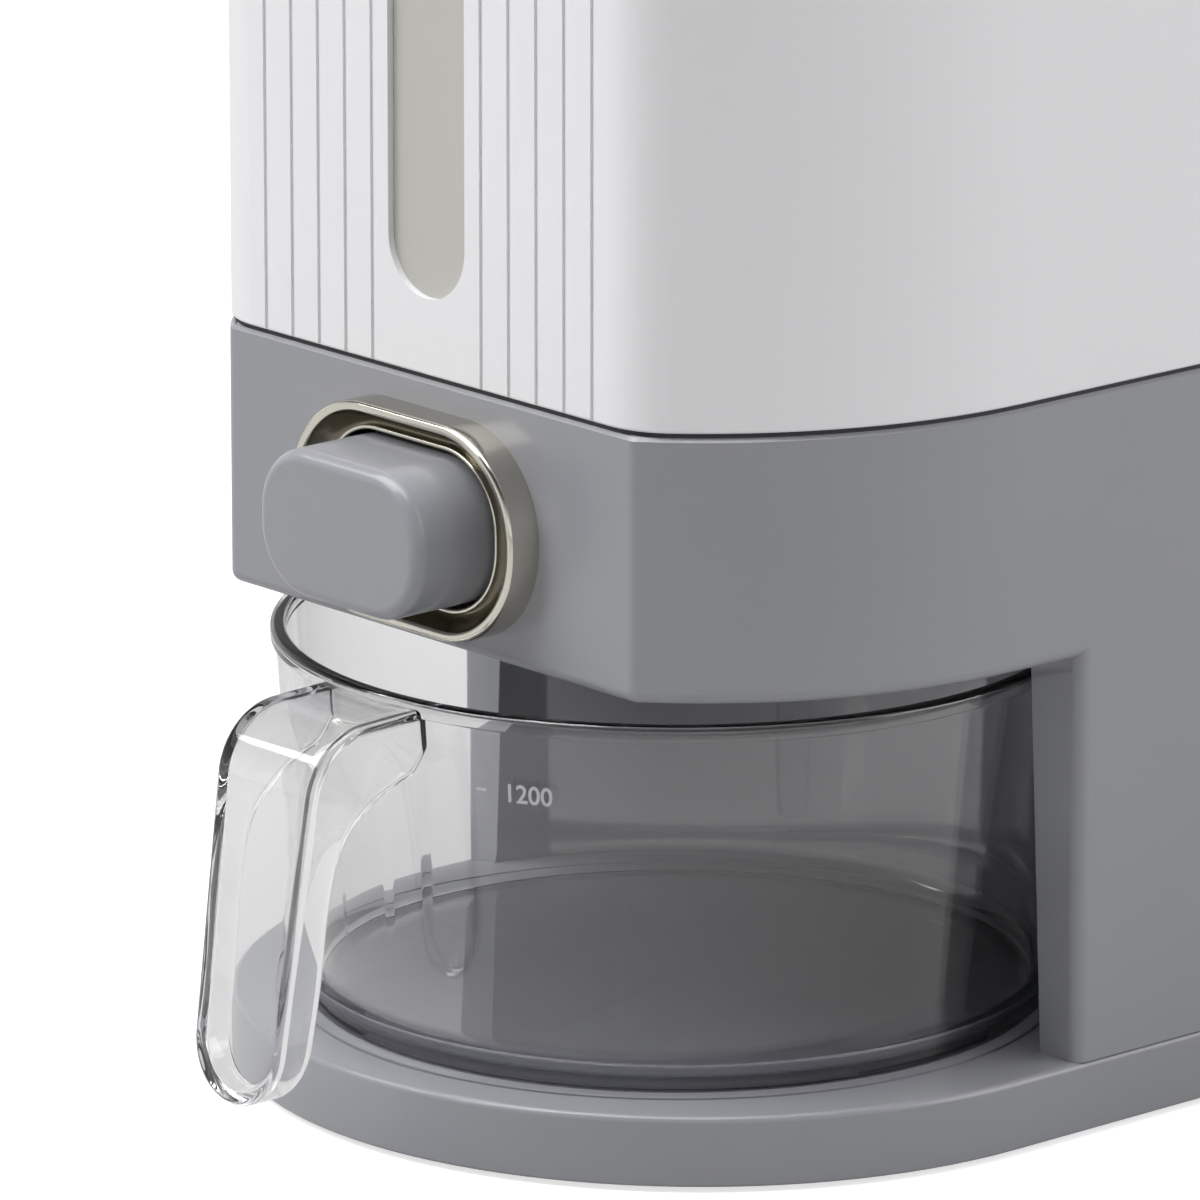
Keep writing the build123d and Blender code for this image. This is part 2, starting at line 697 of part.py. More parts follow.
with BuildPart() as measuring_cup:
    # Hook handle, a channel that is open towards the hand
    extrude(handle_side.sketch, amount=handle_top_w, both=True)
    extrude(handle_front(0.0), amount=handle_reach + handle_trim, mode=Mode.INTERSECT, both=True)
    add(channel.part, mode=Mode.SUBTRACT)
    # Bowl
    wall_top_r = cup_rim_r - lip_proud
    with BuildSketch(Plane.YZ) as outside:
        with BuildLine():
            Polyline((cup_y, base_top), (cup_y - cup_foot_r, base_top),
                     (cup_y - wall_top_r, rim_z - lip_h),
                     (cup_y - cup_rim_r, rim_z - lip_h),
                     (cup_y - cup_rim_r, rim_z), (cup_y, rim_z),
                     (cup_y, base_top))
        make_face()
        fillet(low_outer_corner(outside), cup_foot_edge_r)
    cup_axis = Axis((0, cup_y, 0), (0, 0, 1))
    revolve(axis=cup_axis)
    with BuildSketch(Plane.YZ) as inside:
        with BuildLine():
            Polyline((cup_y, base_top + cup_floor_t),
                     (cup_y - cup_foot_r + cup_wall, base_top + cup_floor_t),
                     (cup_y - wall_top_r + cup_wall, rim_z),
                     (cup_y, rim_z), (cup_y, base_top + cup_floor_t))
        make_face()
        fillet(low_outer_corner(inside), cup_floor_edge_r)
    revolve(axis=cup_axis, mode=Mode.SUBTRACT)
finish(measuring_cup, "measuring_cup")
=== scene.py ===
# %% [markdown]
# # Rice dispenser with a measuring cup
#
# A white grooved container stands on a grey housing. A push button in a champagne bezel opens a gate, and
# rice falls into a clear cup that stands in the bay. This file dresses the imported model: the moving parts
# and their sizes come from it, and each visible surface gets its finish, or a finer surface, here.

# %% Load the frame
import json

import bmesh
import bpy
import numpy as np
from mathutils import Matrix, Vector


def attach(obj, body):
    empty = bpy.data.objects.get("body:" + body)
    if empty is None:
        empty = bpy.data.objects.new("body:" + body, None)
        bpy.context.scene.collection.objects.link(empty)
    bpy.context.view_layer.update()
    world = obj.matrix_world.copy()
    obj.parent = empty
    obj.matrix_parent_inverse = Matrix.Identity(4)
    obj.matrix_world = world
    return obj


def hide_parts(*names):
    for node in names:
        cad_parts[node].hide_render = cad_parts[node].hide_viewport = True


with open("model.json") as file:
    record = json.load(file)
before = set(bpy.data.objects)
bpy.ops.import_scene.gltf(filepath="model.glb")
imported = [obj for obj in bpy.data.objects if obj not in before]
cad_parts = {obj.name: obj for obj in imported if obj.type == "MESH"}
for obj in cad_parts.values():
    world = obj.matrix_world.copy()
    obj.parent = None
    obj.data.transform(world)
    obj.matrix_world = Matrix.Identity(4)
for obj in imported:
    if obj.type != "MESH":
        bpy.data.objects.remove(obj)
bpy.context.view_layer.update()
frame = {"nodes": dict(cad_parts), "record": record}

nodes = frame["nodes"]

# %% [markdown]
# ## Camera
#
# The picture was taken with a long lens from the right of the front, a little above. The lens, distance
# and direction come from fitting the object's plan and heights to the picture. Sizes are easier to read in
# millimetres, so one constant turns them into Blender's metres.

# %% Camera
MM = 0.001

AIM = Vector((-8.6, -71.0, 102.7)) * MM
CAMERA_AZIMUTH, CAMERA_ELEVATION = 48.66, 15.29  # degrees; azimuth 0 is the front, 90 the right
CAMERA_DISTANCE = 2461.5 * MM
SENSOR_WIDTH, FOCAL_LENGTH = 36.0, 345.75  # Blender takes both in millimetres


def direction(azimuth, elevation):
    """Unit vector for two angles in degrees: (sin a cos e, -cos a cos e, sin e)."""
    a, e = np.radians(azimuth), np.radians(elevation)
    return Vector((np.sin(a) * np.cos(e), -np.cos(a) * np.cos(e), np.sin(e)))


toward = direction(CAMERA_AZIMUTH, CAMERA_ELEVATION)
camera_data = bpy.data.cameras.new("camera")
camera_data.sensor_width, camera_data.lens = SENSOR_WIDTH, FOCAL_LENGTH
camera_data.clip_start, camera_data.clip_end = 0.1, 20
camera = bpy.data.objects.new("camera", camera_data)
bpy.context.scene.collection.objects.link(camera)
camera.location = AIM + CAMERA_DISTANCE * toward
camera.rotation_euler = toward.to_track_quat("Z", "Y").to_euler()
bpy.context.scene.camera = camera
bpy.context.scene.view_settings.view_transform = "Standard"
print("camera at", [round(v, 3) for v in camera.location])

# %% [markdown]
# ## Colours and nodes
#
# Colours are picked as sRGB hex values, the way a colour chart gives them, but a shader works in linear
# light, so one function converts them. A second function adds a shader node together with its settings and
# links, and a third starts a material with one Principled shader.

# %% Colours and nodes


def linear(hex_colour):
    """sRGB hex to linear RGBA: c / 12.92 in the dark toe, otherwise ((c + 0.055) / 1.055) ** 2.4."""
    channels = np.array([int(hex_colour[i:i + 2], 16) for i in (1, 3, 5)]) / 255
    toe, curve = channels / 12.92, ((channels + 0.055) / 1.055) ** 2.4
    return (*np.where(channels <= 0.04045, toe, curve), 1.0)


def add_node(tree, kind, inputs=None, **settings):
    """Add a node; each input is a plain value, or the output socket of another node to link from."""
    node = tree.nodes.new(kind)
    for name, value in settings.items():
        setattr(node, name, value)
    for name, value in (inputs or {}).items():
        if isinstance(value, bpy.types.NodeSocket):
            tree.links.new(value, node.inputs[name])
        else:
            node.inputs[name].default_value = value
    return node


def new_material(name, colour, **shine):
    """A material with one Principled shader; returns it with its node tree and that shader."""
    material = bpy.data.materials.new(name)
    material.use_nodes = True
    tree = material.node_tree
    shader = tree.nodes["Principled BSDF"]
    shader.inputs["Base Color"].default_value = linear(colour)
    for socket, value in shine.items():
        shader.inputs[socket.replace("_", " ")].default_value = value
    return material, tree, shader


print("mid grey in linear light:", [round(v, 3) for v in linear("#808080")[:3]])

# %% [markdown]
# ## Moulded plastic
#
# Injection-moulded ABS copies the steel of its mould. A spark-eroded mould leaves a grain of about
# 0.05 mm, which scatters the highlights to a satin glow. That is finer than one pixel of the picture, so
# the grain is drawn at 0.5 mm and very shallow. The colour also drifts by one or two percent where the melt
# flowed, which a slow noise gives, and the same noise makes some places a little glossier than others.

# %% Moulded plastic
GRAIN = 0.5 * MM
FLOW = 60 * MM


def moulded_plastic(name, colour, flow_colour, grain_depth, roughness, **shine):
    """Plastic that drifts slowly between two tones and two roughnesses, with a fine grain in its bump."""
    material, tree, shader = new_material(name, colour, **shine)
    place = add_node(tree, "ShaderNodeTexCoord").outputs["Object"]
    flow = add_node(tree, "ShaderNodeTexNoise", {"Vector": place, "Scale": 1 / FLOW, "Detail": 2.0})
    tone = add_node(tree, "ShaderNodeMix", {"Factor": flow.outputs["Fac"], "A": linear(colour),
                                            "B": linear(flow_colour)}, data_type="RGBA")
    gloss = add_node(tree, "ShaderNodeMapRange", {"Value": flow.outputs["Fac"], "To Min": roughness[0],
                                                  "To Max": roughness[1]})
    grain = add_node(tree, "ShaderNodeTexNoise", {"Vector": place, "Scale": 1 / GRAIN, "Detail": 3.0})
    bump = add_node(tree, "ShaderNodeBump", {"Height": grain.outputs["Fac"], "Strength": 0.35,
                                             "Distance": grain_depth})
    tree.links.new(tone.outputs["Result"], shader.inputs["Base Color"])
    tree.links.new(gloss.outputs["Result"], shader.inputs["Roughness"])
    tree.links.new(bump.outputs["Normal"], shader.inputs["Normal"])
    return material


# Housing, base and button: satin mid grey with a faint blue cast
grey_abs = moulded_plastic("grey_satin_abs", "#8f9095", "#8b8c91", 0.012 * MM, (0.33, 0.4),
                           Coat_Weight=0.4, Coat_Roughness=0.12)
# Container: cool white, polished mould, so the light boxes glow softly in it
white_abs = moulded_plastic("white_gloss_abs", "#e6e6e8", "#e3e3e5", 0.006 * MM, (0.26, 0.33))
# Hopper, spout and gate: plain natural-white polypropylene, waxy and less even
inner_white = moulded_plastic("white_polypropylene", "#e2e2de", "#dcdcd8", 0.02 * MM, (0.45, 0.55))
print("satin grey, gloss white and plain white plastic made")

# %% [markdown]
# ## Clear plastics
#
# The cup is styrene-acrylonitrile, a clear hard plastic with an index of 1.57, here with a smoky tint. The
# tint sits in the plastic and not on its skin: a wall of 2 mm takes 4 percent of the light, while 20 mm of
# flange, seen from its edge, takes a third of it. Volume absorption does exactly that. A ray tracer finds no
# lamp through a bent path, so clear things cast shadows that are far too black. Here a shadow ray passes
# straight through the skin instead. The window is a milkier plastic and needs no depth of its own.

# %% Clear plastics
RIPPLE = 14 * MM


def clear_plastic(name, colour, shadow_colour, ripple_depth, smoke=None, **shine):
    """Clear plastic with a faint ripple; shadow rays pass straight through; smoke is (tint, density)."""
    material, tree, shader = new_material(name, colour, **shine)
    place = add_node(tree, "ShaderNodeTexCoord").outputs["Object"]
    ripple = add_node(tree, "ShaderNodeTexNoise", {"Vector": place, "Scale": 1 / RIPPLE, "Detail": 1.0})
    bump = add_node(tree, "ShaderNodeBump", {"Height": ripple.outputs["Fac"], "Strength": 0.5,
                                             "Distance": ripple_depth})
    tree.links.new(bump.outputs["Normal"], shader.inputs["Normal"])
    straight = add_node(tree, "ShaderNodeBsdfTransparent", {"Color": linear(shadow_colour)})
    path = add_node(tree, "ShaderNodeLightPath")
    both = add_node(tree, "ShaderNodeMixShader", {"Fac": path.outputs["Is Shadow Ray"]})
    tree.links.new(shader.outputs["BSDF"], both.inputs[1])
    tree.links.new(straight.outputs["BSDF"], both.inputs[2])
    tree.links.new(both.outputs["Shader"], tree.nodes["Material Output"].inputs["Surface"])
    if smoke:
        tint, per_metre = smoke
        depth = add_node(tree, "ShaderNodeVolumeAbsorption", {"Color": linear(tint), "Density": per_metre})
        tree.links.new(depth.outputs["Volume"], tree.nodes["Material Output"].inputs["Volume"])
    return material


# Absorbed per metre is density * (1 - linear tint): about 18, which is 4 percent in 2.2 mm
cup_plastic = clear_plastic("clear_smoky_san", "#ffffff", "#fbfbfc", 0.01 * MM, smoke=("#b8b8be", 34.0),
                            Roughness=0.008, IOR=1.57, Transmission_Weight=1.0)
pane_plastic = clear_plastic("smoky_window_plastic", "#cac8c2", "#a8a7a2", 0.01 * MM, Roughness=0.25,
                             IOR=1.57, Transmission_Weight=0.25)
print("cup and window plastic made")

# %% [markdown]
# ## Plating, rubber and steel
#
# The bezel is ABS with a thin metal layer: nickel with a pale champagne tone. A mirror finish would show
# every dot, so the layer gets a slow wave in its roughness, as polishing leaves. Rubber and silicone are
# matt with a soft grain, and the screws are steel with a thin zinc coat that looks finely mottled.

# %% Plating, rubber and steel


def mottled(name, colour, second_colour, spot, roughness, bump_depth, **shine):
    """A finish whose colour and roughness wander between two values over spots of a given size."""
    material, tree, shader = new_material(name, colour, **shine)
    place = add_node(tree, "ShaderNodeTexCoord").outputs["Object"]
    spots = add_node(tree, "ShaderNodeTexNoise", {"Vector": place, "Scale": 1 / spot, "Detail": 3.0})
    tone = add_node(tree, "ShaderNodeMix", {"Factor": spots.outputs["Fac"], "A": linear(colour),
                                            "B": linear(second_colour)}, data_type="RGBA")
    gloss = add_node(tree, "ShaderNodeMapRange", {"Value": spots.outputs["Fac"], "To Min": roughness[0],
                                                  "To Max": roughness[1]})
    bump = add_node(tree, "ShaderNodeBump", {"Height": spots.outputs["Fac"], "Strength": 0.4,
                                             "Distance": bump_depth})
    tree.links.new(tone.outputs["Result"], shader.inputs["Base Color"])
    tree.links.new(gloss.outputs["Result"], shader.inputs["Roughness"])
    tree.links.new(bump.outputs["Normal"], shader.inputs["Normal"])
    return material


# Bezel and bead: pale champagne over nickel, polished
champagne = mottled("champagne_plated_abs", "#d3d0c6", "#c9c5b9", 9 * MM, (0.1, 0.2), 0.002 * MM,
                    Metallic=1.0)
# The channel inside the bezel has the same plating, painted darker: painted shade and dark reflection for its
# recess
champagne_painted_shade = mottled("champagne_painted_channel_shade", "#8a867b", "#7b776c", 9 * MM, (0.16, 0.28), 0.002 * MM,
                         Metallic=1.0)
seal_rubber = mottled("dark_seal_rubber", "#1d1d20", "#26262a", 1.5 * MM, (0.55, 0.7), 0.02 * MM)
foot_rubber = mottled("black_foot_rubber", "#2a2a2b", "#343435", 1.2 * MM, (0.75, 0.9), 0.04 * MM)
silicone = mottled("pale_silicone", "#dededa", "#d2d2cd", 3 * MM, (0.4, 0.5), 0.01 * MM)
steel = mottled("zinc_plated_steel", "#b9bcc0", "#a6a9ae", 1 * MM, (0.28, 0.42), 0.01 * MM, Metallic=1.0)
print("plating, rubber, silicone and steel made")

# %% [markdown]
# ## Dressing the model
#
# Each node of the model names the finish it wears, so one dictionary and one loop dress them all. Pieces
# that no one sees, such as the gate works, get theirs too, because they show when the lid or button moves.

# %% Dress the carried-over nodes
finishes = {"grey_abs": grey_abs, "white_abs": white_abs, "inner_white": inner_white,
            "clear_cup": cup_plastic, "smoky_pane": pane_plastic, "gold_plating": champagne,
            "feet_rubber": foot_rubber, "dark_seal": seal_rubber, "pale_silicone": silicone,
            "screw_steel": steel, "spring_steel": steel}
for part in frame["record"]["subparts"]:
    for slot in nodes[part["node"]].material_slots:
        slot.material = finishes[part["material_slot"]]

# %% [markdown]
# ## Surfaces from grids
#
# Each new piece is a grid of points that numpy works out at once. Two shapes cover them all: a profile with
# rounded corners, and a rounded rectangle. A grid becomes a mesh with one call, which merges the points
# that fall together at poles and seams, turns the faces outwards, and keeps an edge crisp only where the
# surface turns by more than 35 degrees.

# %% Profiles and meshes
CRISP = np.radians(35)  # sharper turns keep a crisp edge


def unit(vector):
    """The vector divided by its length."""
    return vector / np.linalg.norm(vector)


def rounded_path(corners, radii, steps=8):
    """A polyline with arcs at its inner corners; an arc starts radius / tan(half the corner's angle) away."""
    corners = np.array(corners, float)
    turns = np.linspace(0, 1, steps)[:, None]
    stretches = [corners[:1]]
    for before, corner, after, radius in zip(corners, corners[1:], corners[2:], radii):
        to_before, to_after = unit(before - corner), unit(after - corner)
        half = np.arccos(to_before @ to_after) / 2
        centre = corner + unit(to_before + to_after) * radius / np.sin(half)
        start = corner + to_before * radius / np.tan(half) - centre
        sweep = turns * (np.pi - 2 * half)
        stretches.append(centre + np.cos(sweep) * start - np.sin(sweep) * radius * to_before)
    return np.concatenate(stretches + [corners[-1:]])


def rounded_rectangle(width, height, radius, steps=20):
    """Points (x, z) round a rectangle with corner arcs: the corner's centre plus radius * (cos, sin)."""
    angles = np.linspace(0, np.pi / 2, steps) + np.pi / 2 * np.arange(4)[:, None]
    centre_x = (width / 2 - radius) * np.array([1, -1, -1, 1])[:, None]
    centre_z = (height / 2 - radius) * np.array([1, 1, -1, -1])[:, None]
    corners = np.stack([centre_x + radius * np.cos(angles), centre_z + radius * np.sin(angles)], -1)
    return corners.reshape(-1, 2)


def grid_faces(rows, columns, closed_rows=False, closed_columns=False):
    """Quads between neighbours in a grid of points; a closed direction joins its last line to its first."""
    index = np.arange(rows * columns).reshape(rows, columns)
    if closed_rows:
        index = np.concatenate([index, index[:1]])
    if closed_columns:
        index = np.concatenate([index, index[:, :1]], axis=1)
    return np.stack([index[:-1, :-1], index[:-1, 1:], index[1:, 1:], index[1:, :-1]], -1).reshape(-1, 4)


MERGE = 1e-7  # metres, far below any real feature


def surface(name, points, faces, material):
    """A mesh object from points in mm: merged where points meet, closed, facing out, smooth up to CRISP."""
    mesh = bpy.data.meshes.new(name)
    mesh.from_pydata((points.reshape(-1, 3) * MM).tolist(), [], faces.tolist())
    work = bmesh.new()
    work.from_mesh(mesh)
    bmesh.ops.remove_doubles(work, verts=work.verts, dist=MERGE)
    open_edges = [edge for edge in work.edges if edge.is_boundary]
    if open_edges:
        bmesh.ops.holes_fill(work, edges=open_edges)
    bmesh.ops.recalc_face_normals(work, faces=work.faces)
    work.to_mesh(mesh)
    work.free()
    mesh.shade_smooth()
    mesh.set_sharp_from_angle(angle=CRISP)
    mesh.materials.append(material)
    piece = bpy.data.objects.new(name, mesh)
    bpy.context.scene.collection.objects.link(piece)
    return piece


print("points round a rounded square:", len(rounded_rectangle(10, 10, 2)))

# %% [markdown]
# ## The cup's bowl
#
# The bowl is a body of revolution, as most cups are, so one profile turned about the axis makes all of it.
# The profile runs from the middle of the underside out to the foot, up the slightly tapered wall, round the
# lip, down the inside and along the floor. Its sizes repeat the model's own, apart from a tighter corner
# along the inside of the floor.

# %% Bowl
PANEL_Y = -126.7  # the flat front of the housing
CUP_Y = PANEL_Y + 70.0  # the cup's axis
FLOOR_Z, RIM_Z = 16.5, 98.3
FOOT_R, WALL_TOP_R, RIM_R = 80.5, 85.9, 87.0
LIP_LOW = 94.7
CUP_WALL, CUP_FLOOR = 2.2, 2.8
INNER_FLOOR_Z = FLOOR_Z + CUP_FLOOR
# Rounding at the foot, under and over the lip, inside the rim, and along the floor
FOOT_EDGE_R, LIP_ROOT_R, LIP_LOW_R, LIP_TOP_R, MOUTH_R, FLOOR_EDGE_R = 2.2, 0.3, 0.5, 1.2, 1.0, 7.0
ROUND = 256  # points round the bowl


def outer_radius(z):
    """Radius of the bowl's outside at height z: a straight line from the foot to the underside of the lip."""
    return FOOT_R + (WALL_TOP_R - FOOT_R) * (z - FLOOR_Z) / (LIP_LOW - FLOOR_Z)


def turned(profile):
    """Each (r, z) of the profile at every angle t about the cup's axis: (r sin t, CUP_Y - r cos t, z)."""
    angles = np.linspace(0, 2 * np.pi, ROUND, endpoint=False)
    radius, height = profile[:, :1], profile[:, 1:]
    return np.stack([radius * np.sin(angles), CUP_Y - radius * np.cos(angles), height + 0 * angles], -1)


bowl_profile = rounded_path(
    [(0, FLOOR_Z), (FOOT_R, FLOOR_Z), (WALL_TOP_R, LIP_LOW), (RIM_R, LIP_LOW), (RIM_R, RIM_Z),
     (WALL_TOP_R - CUP_WALL, RIM_Z), (FOOT_R - CUP_WALL, INNER_FLOOR_Z), (0, INNER_FLOOR_Z)],
    (FOOT_EDGE_R, LIP_ROOT_R, LIP_LOW_R, LIP_TOP_R, MOUTH_R, FLOOR_EDGE_R))
bowl = surface("measuring_cup", turned(bowl_profile),
               grid_faces(len(bowl_profile), ROUND, closed_columns=True), cup_plastic)
print("bowl profile:", len(bowl_profile), "points; faces:", len(bowl.data.polygons))

# %% [markdown]
# ## The cup's handle
#
# The handle is a hook: a channel that leaves the bowl under the lip, turns down and ends round. It could be
# bent from a box with modifiers, but its rim curves differently from its front, so it is worked out as one
# profile carried along the outline of the tongue. At each point of the outline, the profile runs from the
# tongue's middle line across its front, round the edge, down the flange, round the flange's rim, and back
# inside. Two side-view curves steer it: the front line of the tongue, and the rim line of the flanges.

# %% Side-view curves of the handle
MATCH_DROP = 30.0  # from here down, front and rim are matched at equal heights
REACH_IN_WALL = 12.0
ROOT_DROP, SHOULDER, SHOULDER_R = 1.6, (43.2, 2.6), 16.0
HANDLE_REACH, HANDLE_DROP = 55.0, 83.4
FALLS_BELOW = 20.0  # from this drop down, the rim line only falls, so it can be read by height
STATIONS = 240


def through(points, steps=16):
    """Catmull-Rom curve: between two points, a cubic with half the chord of their neighbours as tangents."""
    p = np.array(points, float)
    p = np.concatenate([[2 * p[0] - p[1]], p, [2 * p[-1] - p[-2]]])
    t = np.linspace(0, 1, steps, endpoint=False)[None, :, None]
    a, b, c, d = (p[i:len(p) - 3 + i, None] for i in range(4))
    square = a - 2.5 * b + 2 * c - d / 2
    cube = 1.5 * (b - c) + (d - a) / 2
    curve = b + t * (c - a) / 2 + t ** 2 * square + t ** 3 * cube
    return np.concatenate([curve.reshape(-1, 2), p[-2:-1]])


def lengths(points):
    """Distance along a polyline up to each of its points."""
    return np.concatenate([[0], np.cumsum(np.linalg.norm(np.diff(points, axis=0), axis=1))])


# Both lines hold (reach in front of the panel, drop below the cup's rim)
front_line = rounded_path([(REACH_IN_WALL, ROOT_DROP), SHOULDER, (HANDLE_REACH, HANDLE_DROP)],
                          (SHOULDER_R,), steps=24)
rim_line = through([(REACH_IN_WALL, 7.5), (14.4, 11.6), (17.2, 15.2), (21.5, 16.8), (28.5, 20.2),
                    (35.7, 27.5), (39.2, 40.0), (41.2, 57.0), (43.6, 71.0), (46.0, HANDLE_DROP)])
front_s, rim_s = lengths(front_line), lengths(rim_line)
matched_front = np.interp(MATCH_DROP, front_line[:, 1], front_s)
matched_rim = np.interp(MATCH_DROP, rim_line[:, 1], rim_s)
s_table = np.linspace(0, front_s[-1], STATIONS)
front_at = np.stack([np.interp(s_table, front_s, front_line[:, i]) for i in (0, 1)], -1)

# Down to MATCH_DROP the rim's point has gone the same share of its way as the front's; then it is level
along_rim = matched_rim * np.minimum(s_table / matched_front, 1)
rim_at = np.stack([np.interp(along_rim, rim_s, rim_line[:, i]) for i in (0, 1)], -1)
level = s_table > matched_front
falling = rim_line[rim_line[:, 1] > FALLS_BELOW]
rim_at[level, 0] = np.interp(front_at[level, 1], falling[:, 1], falling[:, 0])
rim_at[level, 1] = front_at[level, 1]
depth_at = np.linalg.norm(rim_at - front_at, axis=1)
toward_rim = (rim_at - front_at) / depth_at[:, None]
print("handle front line:", round(front_s[-1], 1), "mm; flange depth:", round(depth_at.min(), 1), "to",
      round(depth_at.max(), 1), "mm")

# %% Outline of the tongue
TOP_HALF_W, LOW_R = 16.0, 13.9
SIDE_START, SIDE_STEP = 4.8, 1.5  # the first stretch lies inside the bowl's wall
END_POINTS = 49


def half_width(s):
    """Half the tongue's width at s: linear with height from the rim down to the round end's centre."""
    drop = np.interp(s, s_table, front_at[:, 1])
    return LOW_R + (TOP_HALF_W - LOW_R) * np.clip(1 - drop / (HANDLE_DROP - LOW_R), 0, 1)


# Down one side, round the end by the angle phi, and up the other side; inward points to the middle line
centre_s = front_s[-1] - LOW_R
side_count = int((centre_s - SIDE_START) / SIDE_STEP)
side_s = np.concatenate([[0.0], np.linspace(SIDE_START, centre_s, side_count)])
phi = np.linspace(0, np.pi, END_POINTS)[1:-1]
outline_x = np.concatenate([-half_width(side_s), -LOW_R * np.cos(phi), half_width(side_s[::-1])])[:, None]
outline_s = np.concatenate([side_s, centre_s + LOW_R * np.sin(phi), side_s[::-1]])[:, None]
inward_x = np.concatenate([1 + 0 * side_s, np.cos(phi), -1 + 0 * side_s])[:, None]
inward_s = np.concatenate([0 * side_s, -np.sin(phi), 0 * side_s])[:, None]
to_middle = np.concatenate([half_width(side_s), LOW_R + 0 * phi, half_width(side_s[::-1])])[:, None]
print("outline of the tongue:", len(outline_x), "points")

# %% Handle surface
WEB_T, FLANGE_T = 2.2, 2.4
EDGE_R, INNER_R = 1.4, 1.2
ACROSS = 7  # points from the middle line to the edge, the edge included


def arc(centre_a, centre_b, radius, start, end, steps=6):
    """Points of an arc in the profile plane, from angle start to end, in degrees."""
    angles = np.radians(np.linspace(start, end, steps))
    return centre_a + radius * np.cos(angles), centre_b + radius * np.sin(angles)


# Profile as (a, b): a runs inwards from the outline, b from the front down the flange; m is the share of
# the way to the middle line, and r marks points that are counted from the rim
half_t = FLANGE_T / 2
edge_a, edge_b = arc(EDGE_R, EDGE_R, EDGE_R, 270, 180)
rim_a, rim_b = arc(half_t, -half_t, half_t, 180, 0, steps=9)
fillet_a, fillet_b = arc(FLANGE_T + INNER_R, WEB_T + INNER_R, INNER_R, 180, 270)
middle = np.linspace(1, 0, ACROSS)[:-1]
fillet_end = FLANGE_T + INNER_R
a = np.concatenate([EDGE_R * (1 - middle), edge_a, rim_a, fillet_a, fillet_end * (1 - middle[::-1])])
m = np.concatenate([middle, 0 * edge_a, 0 * rim_a, 0 * fillet_a, middle[::-1]])
b = np.concatenate([0 * middle, edge_b, rim_b, fillet_b, WEB_T + 0 * middle])
r = np.concatenate([0 * middle, 0 * edge_a, 1 + 0 * rim_a, 0 * fillet_a, 0 * middle])

inwards = a + m * to_middle
x = outline_x + inward_x * inwards
s = outline_s + inward_s * inwards
down = b + r * np.interp(s, s_table, depth_at)
reach = np.interp(s, s_table, front_at[:, 0]) + down * np.interp(s, s_table, toward_rim[:, 0])
drop = np.interp(s, s_table, front_at[:, 1]) + down * np.interp(s, s_table, toward_rim[:, 1])
y, z = PANEL_Y - reach, RIM_Z - drop
# The root ends inside the bowl's wall, half a wall behind its outside
in_wall = CUP_Y - np.sqrt((outer_radius(z) - CUP_WALL / 2) ** 2 - x ** 2)
y = np.minimum(y, in_wall)
handle = surface("handle_blank", np.stack([x, y, z], -1), grid_faces(*x.shape), cup_plastic)
print("handle blank:", len(handle.data.vertices), "points")

# %% [markdown]
# ## One clear piece
#
# Bowl and handle are moulded in one shot. If they only overlapped, a ray through the handle's root would
# meet surfaces that aren't there in the real cup, so the two are joined by an exact Boolean union, and the
# handle's blank is taken away.

# %% Join bowl and handle
union = bowl.modifiers.new("join_handle", "BOOLEAN")
union.operation, union.solver, union.object = "UNION", "EXACT", handle
joined = bpy.data.meshes.new_from_object(bowl.evaluated_get(bpy.context.evaluated_depsgraph_get()))
bowl.modifiers.remove(union)
bowl.data = joined
bpy.data.objects.remove(handle)
joined.shade_smooth()
joined.set_sharp_from_angle(angle=CRISP)
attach(bowl, "cup")
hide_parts("measuring_cup")
print("joined cup:", len(joined.polygons), "faces")

# %% [markdown]
# ## Measuring marks
#
# A fill line on the cup is a short tick with a plain number, printed in thin white ink on the outside, which
# looks grey because light passes it. Both are made flat first, in millimetres along the wall, and then
# wrapped round it: x becomes an angle about the cup's axis, and y the height. The print stands a few
# hundredths of a millimetre proud, as ink does. A font gives the digits, slightly fattened, and their
# outlines are turned into a mesh before they are wrapped.

# %% Marks
MARK_ANGLE, MARK_Z = np.radians(27.3), 81.4
DIGITS_SIZE = (9.9, 4.1)
TICK_SIZE, TICK_OFFSET = (2.4, 0.6), -11.2  # the offset runs from the middle of the digits
TICK_END_R = TICK_SIZE[1] / 2 - 0.01
INK_T = 0.05
FATTEN = 0.015  # in the font's own unit, which is about one letter's height
ink = mottled("white_printing_ink", "#c6c6c8", "#b4b4b7", 0.8 * MM, (0.5, 0.65), 0.004 * MM)


def print_on_cup(name, flat, faces):
    """Wrap flat (x, y, depth) mm round the wall: angle MARK_ANGLE + x / radius, height MARK_Z + y."""
    height = MARK_Z + flat[:, 1]
    radius = outer_radius(height) + INK_T * flat[:, 2]
    angle = MARK_ANGLE + flat[:, 0] / outer_radius(height)
    wrapped = np.stack([radius * np.sin(angle), CUP_Y - radius * np.cos(angle), height], -1)
    mesh = bpy.data.meshes.new(name)
    mesh.from_pydata((wrapped * MM).tolist(), [], faces)
    mesh.materials.append(ink)
    piece = bpy.data.objects.new(name, mesh)
    bpy.context.scene.collection.objects.link(piece)
    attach(piece, "cup")


